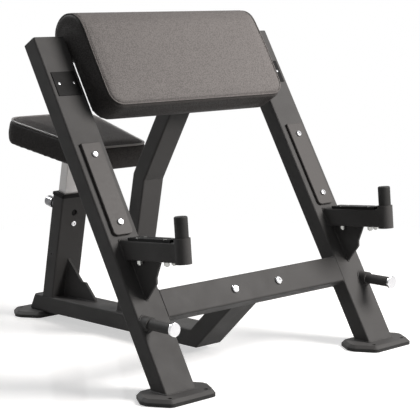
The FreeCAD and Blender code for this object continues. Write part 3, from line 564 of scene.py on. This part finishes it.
def boardHull(board, place, backing):
    # the two axes across a board, the depth of its back face and that face's flat hull
    points = localPoints(vertexArray(nodes[board].data), place)
    depth = points @ np.array(backing)
    rear = depth.max()
    across = [axis for axis in range(3) if not backing[axis]]
    flat = [tuple(row) for row in points[depth > rear - boardFace][:, across]]
    return across, rear, [Vector(flat[i]) for i in convex_hull_2d(flat)]


def makeCushion(name, cover, board, place, backing, cushion):
    piece = joinedForm(name, cover, board, cushion["boardGrow"])
    remesh = piece.modifiers.new("even", "REMESH")
    remesh.mode = "VOXEL"
    remesh.voxel_size = cushion["voxel"]
    swapMesh(piece, evaluatedMesh(piece))
    points = localPoints(vertexArray(piece.data), place)
    normals = vertexArray(piece.data, "normal")
    across, rear, hull = boardHull(board, place, backing)
    middle = sum(hull, Vector((0, 0))) / len(hull)
    rim = [point + (point - middle).normalized() * cushion["rim"] for point in hull]
    depth = points @ backing
    held = insideLoop(points[:, across], rim) & (np.abs(depth - rear) < cushion["voxel"])
    edges = np.array([edge.vertices[:] for edge in piece.data.edges])
    free = 1 - evened(held.astype(float), edges, cushion["easing"])
    rearward = np.array(place.to_3x3() @ Vector(backing))
    free *= 1 - cushion["flatBack"] * np.clip(normals @ rearward, 0, 1)
    points[held] -= np.outer(depth[held] - rear + cushion["boardShow"], backing)
    drawn = (cushion["plump"] - cushion["drawIn"]) * free
    start = worldPoints(points, place) + normals * drawn[:, None]
    piece.data.vertices.foreach_set("co", start.ravel())
    out = np.full(len(free), cushion["drawIn"])
    out = swell(piece, held, normals, edges, cushion)
    piece.data.vertices.foreach_set("co", (start + normals * (out * free)[:, None]).ravel())
    loose = piece.vertex_groups.new(name="loose")
    loose.add([int(i) for i in np.flatnonzero(free > cushion["looseFrom"])], 1.0, "REPLACE")
    smooth = piece.modifiers.new("smooth", "SMOOTH")
    smooth.factor = coverCloth["smoothShare"]
    smooth.iterations = cushion["smoothing"]
    smooth.vertex_group = "loose"
    finer = piece.modifiers.new("finer", "SUBSURF")
    finer.levels = coverCloth["finer"]
    finer.render_levels = coverCloth["finer"]
    swapMesh(piece, evaluatedMesh(piece))
    piece.data.polygons.foreach_set("use_smooth", [True] * len(piece.data.polygons))
    piece.data.materials.clear()
    piece.data.materials.append(finishes["pad_leather"])
    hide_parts(cover)
    return piece


def surfaceTree(piece):
    mesh = piece.data
    return BVHTree.FromPolygons([v.co for v in mesh.vertices], [p.vertices for p in mesh.polygons])


def onSurface(piece, path, lift):
    tree = surfaceTree(piece)
    laid = []
    for point in path:
        spot, normal, index, away = tree.find_nearest(point)
        laid.append(spot + normal * lift)
    return laid


def eased(path, rounds, closed):
    points = np.array([tuple(point) for point in path])
    for step in range(rounds):
        before = np.roll(points, 1, axis=0)
        after = np.roll(points, -1, axis=0)
        even = (before + 2 * points + after) / 4
        if not closed:
            even[0] = points[0]
            even[-1] = points[-1]
        points = even
    return [Vector(point) for point in points]


def pressSeam(piece, paths, depth, width):
    # draws the cover in along its seams
    tree = kdtree.KDTree(sum(len(path) for path in paths))
    count = 0
    for path in paths:
        for point in path:
            tree.insert(point, count)
            count += 1
    tree.balance()
    mesh = piece.data
    for vertex, normal in zip(mesh.vertices, [n.vector.copy() for n in mesh.vertex_normals]):
        spot, index, away = tree.find(vertex.co)
        if away < sewing["seamReach"] * width:
            vertex.co -= normal * depth * math.exp(-((away / width) ** 2))
    mesh.update()


def steps(start, end, count):
    return [start + (end - start) * i / count for i in range(count + 1)]


padCushion = {
    **upholstery,
    "voxel": 0.0054, "plump": 0.0050, "drawIn": 0.0042, "crown": 0.0022, "tuck": 0.0012, "flatBack": 0.0,
    # the sewn line round the front: down one end from behind the roll, along the lower edge and up the other
    "half": 0.321, "low": 0.749, "corner": 0.042, "front": -0.069,
    "rollHeight": 0.984, "rollBack": -0.007, "rollRadius": 0.062, "rollStart": -42,
    "rollParts": 60, "sideParts": 50, "cornerParts": 14, "lowerParts": 120,
    "piping": 0.0019, "seamDepth": 0.0011, "seamWidth": 0.0042,
    # where the front panel ends and the side strips begin
    "sideFrom": 0.004, "rollFoot": 0.93, "top": 1.2, "panelPitch": 0.01,
}


def padSeam(inset):
    size = padCushion
    x = size["half"] - inset
    centre = size["half"] - size["corner"]
    reach = size["corner"] - inset
    oneEnd = []
    for degrees in steps(size["rollStart"], 180, size["rollParts"]):
        angle = math.radians(degrees)
        oneEnd.append((x, size["rollBack"] + size["rollRadius"] * math.cos(angle),
                       size["rollHeight"] + size["rollRadius"] * math.sin(angle)))
    for height in steps(size["rollHeight"], size["low"] + size["corner"], size["sideParts"])[1:]:
        oneEnd.append((x, size["front"], height))
    for degrees in steps(0, 90, size["cornerParts"])[1:]:
        angle = math.radians(degrees)
        oneEnd.append((centre + reach * math.cos(angle), size["front"],
                       size["low"] + size["corner"] - reach * math.sin(angle)))
    lower = [(across, size["front"], size["low"] + inset)
             for across in steps(centre, -centre, size["lowerParts"])[1:-1]]
    points = oneEnd + lower + [(-px, py, pz) for px, py, pz in reversed(oneEnd)]
    return [slope @ Vector(point) for point in points]


seatCushion = {
    **upholstery,
    "voxel": 0.005, "plump": 0.0062, "drawIn": 0.0036, "crown": 0.0025, "tuck": 0.0010, "flatBack": 0.5,
    # the sewn line round the top
    "front": -0.197, "rear": 0.158, "frontHalf": 0.106, "rearHalf": 0.160, "frontCorner": 0.026,
    "rearCorner": 0.040, "rimHeight": 0.532, "seamPitch": 0.004,
    "piping": 0.0031, "seamDepth": 0.0014, "seamWidth": 0.004,
    # how high the side strip reaches
    "sideTop": 0.51,
}
leastTurns = 3


def roundedLoop(corners, radii, pitch):
    # closed outline through the corners, each turned with its own radius
    points = []
    count = len(corners)
    for i, corner in enumerate(corners):
        here = Vector(corner)
        into = (Vector(corners[i - 1]) - here).normalized()
        onward = (Vector(corners[(i + 1) % count]) - here).normalized()
        half = into.angle(onward) / 2
        back = radii[i] / math.tan(half)
        centre = here + (into + onward).normalized() * radii[i] / math.sin(half)
        first = here + into * back - centre
        last = here + onward * back - centre
        sweep = first.angle(last)
        parts = max(leastTurns, int(sweep * radii[i] / pitch))
        for step in range(parts + 1):
            share = step / parts
            points.append(centre + first * (math.sin((1 - share) * sweep) / math.sin(sweep))
                          + last * (math.sin(share * sweep) / math.sin(sweep)))
    filled = []
    for i, point in enumerate(points):
        following = points[(i + 1) % len(points)]
        parts = max(1, int((following - point).length / pitch))
        filled.extend(point.lerp(following, step / parts) for step in range(parts))
    return filled


def padPanel(inset):
    # the front's outline seen square on, open upwards over the roll
    size = padCushion
    x = size["half"] - inset
    low = size["low"] + inset
    turn = size["corner"] - inset
    corners = [(-x, low), (x, low), (x, size["top"]), (-x, size["top"])]
    return roundedLoop(corners, [turn] * len(corners), size["panelPitch"])


def seatPanel(inset):
    size = seatCushion
    front = size["front"] + inset
    rear = size["rear"] - inset
    narrow = size["frontHalf"] - inset
    wide = size["rearHalf"] - inset
    corners = [(-narrow, front), (narrow, front), (wide, rear), (-wide, rear)]
    radii = [size["frontCorner"], size["frontCorner"], size["rearCorner"], size["rearCorner"]]
    return roundedLoop(corners, radii, size["seamPitch"])


def seatSeam(inset):
    return [postLine @ Vector((p.x, p.y, seatCushion["rimHeight"])) for p in seatPanel(inset)]


def markShadedSides(mesh, sides):
    # 1 where the cover is a side strip, which the leather darkens there as painted shade
    mark = mesh.attributes.new("side", "FLOAT", "POINT")
    mark.data.foreach_set("value", sides.astype(float))


def dressCushion(piece, name, seams, stitchLines, closed, cushion, body, pipingFinish):
    seams = [eased(onSurface(piece, path, 0), sewing["seamEasing"], closed) for path in seams]
    pressSeam(piece, seams, cushion["seamDepth"], cushion["seamWidth"])
    lift = cushion["piping"] - cushion["pipingSink"]
    laid = [eased(onSurface(piece, path, lift), sewing["laidEasing"], closed) for path in seams]
    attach(piece, body)
    alongPath(name + "Piping", laid, closed, bead, body, "pad_leather", Radius=cushion["piping"],
              Material=pipingFinish, **sewing["piping"])
    stitched = [eased(onSurface(piece, path, 0), sewing["laidEasing"], closed) for path in stitchLines]
    alongPath(name + "Stitches", stitched, closed, bars, body, "pad_leather", Surface=piece,
              Material=thread, **sewing["stitches"])


armPad = makeCushion("armPadCushion", "arm_pad", "arm_pad_board", slope, np.array((0, 1, 0)), padCushion)
local = localPoints(vertexArray(armPad.data), slope)
facing = (local[:, 1] < padCushion["sideFrom"]) | (local[:, 2] > padCushion["rollFoot"])
# the arm pad's side strips take the painted shade
markShadedSides(armPad.data, ~(insideLoop(local[:, (0, 2)], padPanel(padCushion["seamIn"])) & facing))
dressCushion(armPad, "armPad", [padSeam(padCushion["seamIn"])], [padSeam(padCushion["stitchIn"])], False,
             padCushion, "frame", finishes["pad_leather"])
print("arm pad sewn:", len(armPad.data.polygons), "faces")

seatPad = makeCushion("seatCushion", "seat_pad", "seat_board", postLine, np.array((0, 0, -1)), seatCushion)
local = localPoints(vertexArray(seatPad.data), postLine)
facing = local[:, 2] > seatCushion["sideTop"]
# the seat's side strips take the painted shade
markShadedSides(seatPad.data, ~(insideLoop(local[:, :2], seatPanel(seatCushion["seamIn"])) & facing))
# the seat's piping takes the welt's painted highlight
dressCushion(seatPad, "seat", [seatSeam(seatCushion["seamIn"])], [seatSeam(seatCushion["stitchIn"])], True,
             seatCushion, "seat", welt)
print("seat sewn:", len(seatPad.data.polygons), "faces")


# the cover's edge turned over each board and stapled

hem = {
    "out": 0.003, "in": 0.012, "thick": 0.0012, "sink": 0.0012, "pitch": 0.006, "mitre": 0.016,
    "outThick": 0.6, "inThick": 0.5, "cornerShrink": 4,
    # how the cut edge wanders: rate and start of each wave
    "wander": 0.0012, "waves": ((0.9, 0.0), (0.37, 1.3)),
    "stapleIn": 0.005, "staples": {"Pitch": 0.026, "Bar": (0.0055, 0.0006, 0.0005), "Lift": 0.0003},
}


def makeHem(name, outline, inwards, backing, body):
    # outline: points on the board's back along its edge; inwards: the way into the board at each
    form = bmesh.new()
    rows = []
    for i, (point, inner) in enumerate(zip(outline, inwards)):
        thick = hem["thick"]
        edge = hem["in"] + hem["wander"] * sum(math.sin(i * rate + start) for rate, start in hem["waves"])
        out = hem["out"] / inner.length ** hem["cornerShrink"]  # kept short where the cover rounds a corner
        section = [(-out, -hem["sink"]), (-out / 2, thick * hem["outThick"]), (0, thick),
                   (edge - thick, thick), (edge, thick * hem["inThick"]), (edge, -hem["sink"] / 2),
                   (-out, -2 * hem["sink"])]
        rows.append([form.verts.new(point + inner * along + backing * up) for along, up in section])
    for row, following in zip(rows, rows[1:] + rows[:1]):
        for i in range(len(row)):
            j = (i + 1) % len(row)
            form.faces.new((row[i], row[j], following[j], following[i]))
    bmesh.ops.recalc_face_normals(form, faces=form.faces)
    mesh = bpy.data.meshes.new(name)
    form.to_mesh(mesh)
    form.free()
    mesh.polygons.foreach_set("use_smooth", [True] * len(mesh.polygons))
    # the whole hem takes the side strips' painted shade
    markShadedSides(mesh, np.ones(len(mesh.vertices)))
    mesh.materials.append(finishes["pad_leather"])
    piece = bpy.data.objects.new(name, mesh)
    scene.collection.objects.link(piece)
    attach(piece, body)
    line = [point + inner * hem["stapleIn"] + backing * hem["thick"]
            for point, inner in zip(outline, inwards)]
    alongPath(name + "Staples", [line], True, bars, body, "zinc", Surface=piece, Material=finishes["zinc"],
              **hem["staples"])


def boardOutline(board, place, backing):
    # hull of the board's back face as a loop, and the way in at each point, mitred at the corners
    across, rear, hull = boardHull(board, place, backing)
    hull = [p for p, following in zip(hull, hull[1:] + hull[:1]) if (following - p).length > hem["thick"]]
    middle = sum(hull, Vector((0, 0))) / len(hull)
    loop = []
    for point, following in zip(hull, hull[1:] + hull[:1]):
        length = (following - point).length
        parts = max(1, int((length - 2 * hem["mitre"]) / hem["pitch"]))
        loop.append(point)
        if length > 2 * hem["mitre"]:
            ends = [point.lerp(following, share / length) for share in (hem["mitre"], length - hem["mitre"])]
            loop.extend(ends[0].lerp(ends[1], step / parts) for step in range(parts + 1))
    ahead = loop[1:] + loop[:1]
    behind = loop[-1:] + loop[:-1]
    outline = []
    inwards = []
    for point, before, after in zip(loop, behind, ahead):
        square = []
        for along in ((point - before).normalized(), (after - point).normalized()):
            sideways = Vector((-along.y, along.x))
            square.append(sideways if sideways.dot(middle - point) > 0 else -sideways)
        inner = (square[0] + square[1]) / (1 + square[0].dot(square[1]))
        spot = [0, 0, 0]
        way = [0, 0, 0]
        for axis, value, step in zip(across, point, inner):
            spot[axis] = value
            way[axis] = step
        spot = Vector(spot) + Vector(backing) * rear
        outline.append(place @ spot)
        inwards.append(place.to_3x3() @ Vector(way))
    return outline, inwards, (place.to_3x3() @ Vector(backing)).normalized()


for name, board, place, backing, body in (("armPadHem", "arm_pad_board", slope, (0, 1, 0), "frame"),
                                          ("seatHem", "seat_board", postLine, (0, 0, -1), "seat")):
    makeHem(name, *boardOutline(board, place, backing), body)
print("hems turned and stapled")


# fillet welds where the frame's members meet

weld = {"touch": 0.0004,
        "bead": {"Pitch": 0.0012, "Radius": 0.0026, "Ripple": 0.09, "Turn": 1.25, "Sides": 8}}
weldedFrame = [("base_beam", "rear_foot_plate"), ("front_brace", "brace_flange"),
               ("spine_lower", "base_beam"), ("spine_upper", "pad_plate"), ("seat_sleeve", "base_beam"),
               ("seat_gusset", "seat_sleeve"), ("seat_gusset", "base_beam"), ("pin_barrel", "seat_sleeve")]
for side in ("left", "right"):
    weldedFrame += [(f"{side}_upright", f"{side}_foot_plate"), ("cross_beam", f"{side}_upright"),
                    (f"{side}_catch_arm", f"{side}_upright"), (f"{side}_catch_gusset", f"{side}_upright"),
                    (f"{side}_catch_gusset", f"{side}_catch_arm"), (f"{side}_band_peg", f"{side}_upright")]
weldedSeat = [("seat_post", "seat_plate")]


def weldLoop(member, carrier):
    tree = surfaceTree(nodes[carrier])
    touching = [v.co for v in nodes[member].data.vertices if tree.find_nearest(v.co)[3] < weld["touch"]]
    points = np.array([tuple(p) for p in touching])
    centre = points.mean(0)
    axes = np.linalg.svd(points - centre, full_matrices=False)[2]
    flat = [tuple(row) for row in (points - centre) @ axes[:2].T]
    return [Vector(points[i]) for i in convex_hull_2d(flat)]


def makeWelds(name, pairs, body):
    loops = [weldLoop(member, carrier) for member, carrier in pairs]
    alongPath(name, loops, True, bead, body, "powder_coat", Material=finishes["powder_coat"], **weld["bead"])


makeWelds("frameWelds", weldedFrame, "frame")
makeWelds("seatWelds", weldedSeat, "seat")
print("welds run:", len(weldedFrame) + len(weldedSeat))


# floor, light and camera

studio = {"floor": 40, "drop": -0.0006, "near": 0.75, "far": 2.2, "matte": 0.85, "lift": 0.40, "bounce": 0.18,
          "gloss": 0.08, "polish": 0.08, "ambient": 0.05}
lamps = {
    "frontSoftbox": {"place": (1.5, -2.45, 2.25), "target": (0, -0.1, 0.75), "size": 1.6, "power": 162,
                     "colour": (1.0, 0.965, 0.94)},
    "rearStrip": {"place": (-0.95, 2.0, 3.0), "target": (-0.1, 0.35, 0.6), "size": 0.9, "power": 110,
                  "colour": (1.0, 1.0, 1.0), "fills": False},
    "backFill": {"place": (0.9, 3.3, 1.0), "target": (0, 0.1, 0.55), "size": 2.0, "power": 55,
                 "colour": (1.0, 0.98, 0.965), "shines": False},
}


def makeFloor():
    # white where it is looked at, and near the bench a matte share that takes its shadow
    mesh = bpy.data.meshes.new("floor")
    half = studio["floor"] / 2
    corners = [(-half, -half), (half, -half), (half, half), (-half, half)]
    mesh.from_pydata([(x, y, studio["drop"]) for x, y in corners], [], [(0, 1, 2, 3)])
    floor = bpy.data.objects.new("floor", mesh)
    scene.collection.objects.link(floor)
    material = bpy.data.materials.new("paleFloor")
    material.use_nodes = True
    tree = material.node_tree
    tree.nodes.clear()
    reach = tree.nodes.new("ShaderNodeVectorMath")
    reach.operation = "LENGTH"
    tree.links.new(tree.nodes.new("ShaderNodeTexCoord").outputs["Object"], reach.inputs[0])
    near = spread(tree, reach.outputs["Value"], studio["near"], studio["far"], 1, 0)
    white = tree.nodes.new("ShaderNodeEmission")
    level = mixed(tree, "SUBTRACT", 1.0, mixed(tree, "MULTIPLY", near, studio["lift"]))
    tree.links.new(level, white.inputs["Strength"])
    matte = tree.nodes.new("ShaderNodeBsdfDiffuse")
    tree.links.new(tinted(tree, near, (0, 0, 0), (studio["matte"],) * 3), matte.inputs["Color"])
    seen = tree.nodes.new("ShaderNodeAddShader")
    tree.links.new(white.outputs["Emission"], seen.inputs[0])
    tree.links.new(matte.outputs["BSDF"], seen.inputs[1])
    shine = tree.nodes.new("ShaderNodeBsdfGlossy")
    shine.inputs["Roughness"].default_value = studio["polish"]
    glossed = tree.nodes.new("ShaderNodeMixShader")
    tree.links.new(mixed(tree, "MULTIPLY", near, studio["gloss"]), glossed.inputs["Fac"])
    tree.links.new(seen.outputs["Shader"], glossed.inputs[1])
    tree.links.new(shine.outputs["BSDF"], glossed.inputs[2])
    bounce = tree.nodes.new("ShaderNodeBsdfDiffuse")
    bounce.inputs["Color"].default_value = (*[studio["bounce"]] * 3, 1)
    choose = tree.nodes.new("ShaderNodeMixShader")
    tree.links.new(lookingRay(tree), choose.inputs["Fac"])
    tree.links.new(bounce.outputs["BSDF"], choose.inputs[1])
    tree.links.new(glossed.outputs["Shader"], choose.inputs[2])
    out = tree.nodes.new("ShaderNodeOutputMaterial")
    tree.links.new(choose.outputs["Shader"], out.inputs["Surface"])
    mesh.materials.append(material)


def lookingRay(tree):
    # 1 for rays that look at the backdrop, straight, in a reflection or through glass
    path = tree.nodes.new("ShaderNodeLightPath")
    either = mixed(tree, "MAXIMUM", path.outputs["Is Camera Ray"], path.outputs["Is Glossy Ray"])
    return mixed(tree, "MAXIMUM", either, path.outputs["Is Transmission Ray"])


def makeWorld():
    world = bpy.data.worlds.new("studio")
    scene.world = world
    world.use_nodes = True
    tree = world.node_tree
    tree.nodes.clear()
    soft = tree.nodes.new("ShaderNodeBackground")
    soft.inputs["Strength"].default_value = studio["ambient"]
    white = tree.nodes.new("ShaderNodeBackground")
    white.inputs["Color"].default_value = (1, 1, 1, 1)
    choose = tree.nodes.new("ShaderNodeMixShader")
    tree.links.new(lookingRay(tree), choose.inputs["Fac"])
    tree.links.new(soft.outputs["Background"], choose.inputs[1])
    tree.links.new(white.outputs["Background"], choose.inputs[2])
    out = tree.nodes.new("ShaderNodeOutputWorld")
    tree.links.new(choose.outputs["Shader"], out.inputs["Surface"])


def areaLamp(name, place, target, size, power, colour, fills=True, shines=True):
    lamp = bpy.data.lights.new(name, "AREA")
    lamp.shape = "DISK"
    lamp.size = size
    lamp.energy = power
    lamp.color = colour
    holder = bpy.data.objects.new(name, lamp)
    holder.visible_camera = False
    holder.visible_diffuse = fills
    holder.visible_glossy = shines
    holder.location = place
    holder.rotation_euler = (Vector(target) - Vector(place)).to_track_quat("-Z", "Y").to_euler()
    scene.collection.objects.link(holder)


view = {"place": (-2.67747, -3.06715, 0.95943), "azimuth": -43.491, "elevation": 8.206, "roll": -0.604,
        "lens": 122.858, "sensor": 36, "reach": 100}


def makeCamera():
    turn, rise, roll = (math.radians(view[key]) for key in ("azimuth", "elevation", "roll"))
    back = Vector((math.sin(turn) * math.cos(rise), -math.cos(turn) * math.cos(rise), math.sin(rise)))
    right = (-back).cross(Vector((0, 0, 1))).normalized()
    up = right.cross(-back)
    across = right * math.cos(roll) + up * math.sin(roll)
    upright = up * math.cos(roll) - right * math.sin(roll)
    data = bpy.data.cameras.new("camera")
    data.lens = view["lens"]
    data.sensor_width = view["sensor"]
    data.clip_end = view["reach"]
    camera = bpy.data.objects.new("camera", data)
    turnMatrix = Matrix((across, upright, back)).transposed().to_4x4()
    camera.matrix_world = Matrix.Translation(view["place"]) @ turnMatrix
    scene.collection.objects.link(camera)
    scene.camera = camera


makeFloor()
makeWorld()
for name, lamp in lamps.items():
    areaLamp(name, **lamp)
makeCamera()
scene.view_settings.view_transform = "Standard"
print("studio lit")
